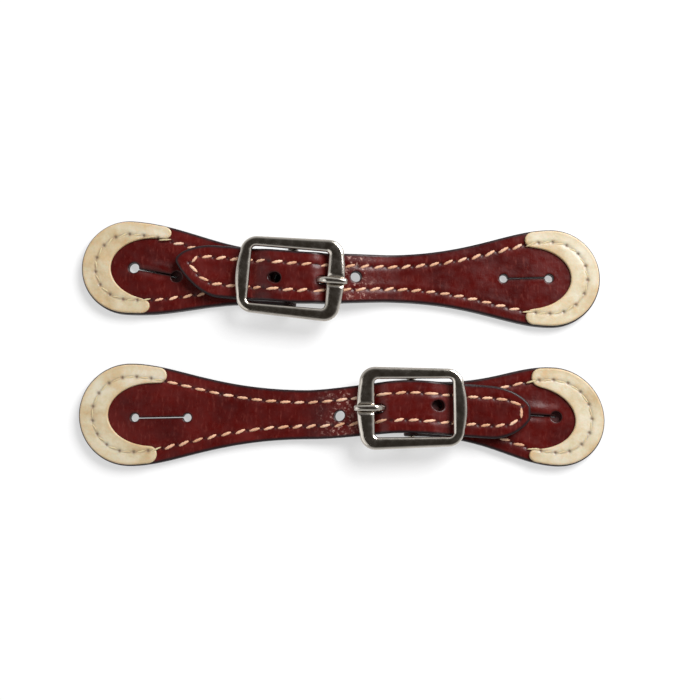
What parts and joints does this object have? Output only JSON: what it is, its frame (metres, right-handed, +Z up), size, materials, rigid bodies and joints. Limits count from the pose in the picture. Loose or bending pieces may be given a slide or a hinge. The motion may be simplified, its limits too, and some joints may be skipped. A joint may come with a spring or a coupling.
{
  "type": "spur strap pair",
  "caption": "Pair of buckled leather straps with rounded buttonhole ends and sewn rawhide crescents, for fastening spurs to boots.",
  "frame": {"origin": "centre of the pair's outline, on the surface they lie on", "axes": "+X along the straps, +Y from the right strap towards the left one, +Z up, towards the grain side"},
  "size_m": [0.2082, 0.098, 0.0125],
  "materials": {
    "grain_leather": "glossy burgundy, waxed, fine creases",
    "lining_leather": "dark burgundy, matt",
    "rawhide": "cream rawhide, half gloss, yellowed at its edges",
    "thread": "waxed salmon thread, matt",
    "steel": "polished"
  },
  "bodies": {
    "left_buckle_piece": {"left_buckle_piece_face": "grain_leather", "left_buckle_piece_lining": "lining_leather", "left_buckle_piece_rawhide": "rawhide", "left_buckle_piece_thread": "thread", "left_buckle_piece_bobbin_thread": "thread"},
    "left_frame": {"left_buckle_frame": "steel"},
    "left_tongue": {"left_buckle_tongue": "steel"},
    "left_billet": {"left_billet_face": "grain_leather", "left_billet_lining": "lining_leather", "left_billet_rawhide": "rawhide", "left_billet_thread": "thread", "left_billet_bobbin_thread": "thread"},
    "right_buckle_piece": {"right_buckle_piece_face": "grain_leather", "right_buckle_piece_lining": "lining_leather", "right_buckle_piece_rawhide": "rawhide", "right_buckle_piece_thread": "thread", "right_buckle_piece_bobbin_thread": "thread"},
    "right_frame": {"right_buckle_frame": "steel"},
    "right_tongue": {"right_buckle_tongue": "steel"},
    "right_billet": {"right_billet_face": "grain_leather", "right_billet_lining": "lining_leather", "right_billet_rawhide": "rawhide", "right_billet_thread": "thread", "right_billet_bobbin_thread": "thread"}
  },
  "joints": [
    {"name": "left_buckle_rock", "type": "hinge", "parent": "left_buckle_piece", "child": "left_frame", "pos_m": [-0.02042, 0.02534, 0.0032], "axis": [0.0854, 0.9963, 0], "range_deg": [-1, 1]},
    {"name": "left_tongue_lift", "type": "hinge", "parent": "left_frame", "child": "left_tongue", "pos_m": [-0.02042, 0.02534, 0.0032], "axis": [-0.0854, -0.9963, 0], "range_deg": [0, 3]},
    {"name": "left_billet_play", "type": "slide", "parent": "left_buckle_piece", "child": "left_billet", "axis": [0.9963, -0.0854, 0], "range_m": [-0.0005, 0.0005]},
    {"name": "right_strap_lift", "type": "slide", "parent": "left_buckle_piece", "child": "right_buckle_piece", "axis": [0, 0, 1], "range_m": [0, 0.06]},
    {"name": "right_buckle_rock", "type": "hinge", "parent": "right_buckle_piece", "child": "right_frame", "pos_m": [0.02758, -0.02626, 0.0032], "axis": [0.0087, -1, 0], "range_deg": [-1, 1]},
    {"name": "right_tongue_lift", "type": "hinge", "parent": "right_frame", "child": "right_tongue", "pos_m": [0.02758, -0.02626, 0.0032], "axis": [-0.0087, 1, 0], "range_deg": [0, 3]},
    {"name": "right_billet_play", "type": "slide", "parent": "right_buckle_piece", "child": "right_billet", "axis": [-1, -0.0087, 0], "range_m": [-0.0005, 0.0005]}
  ]
}
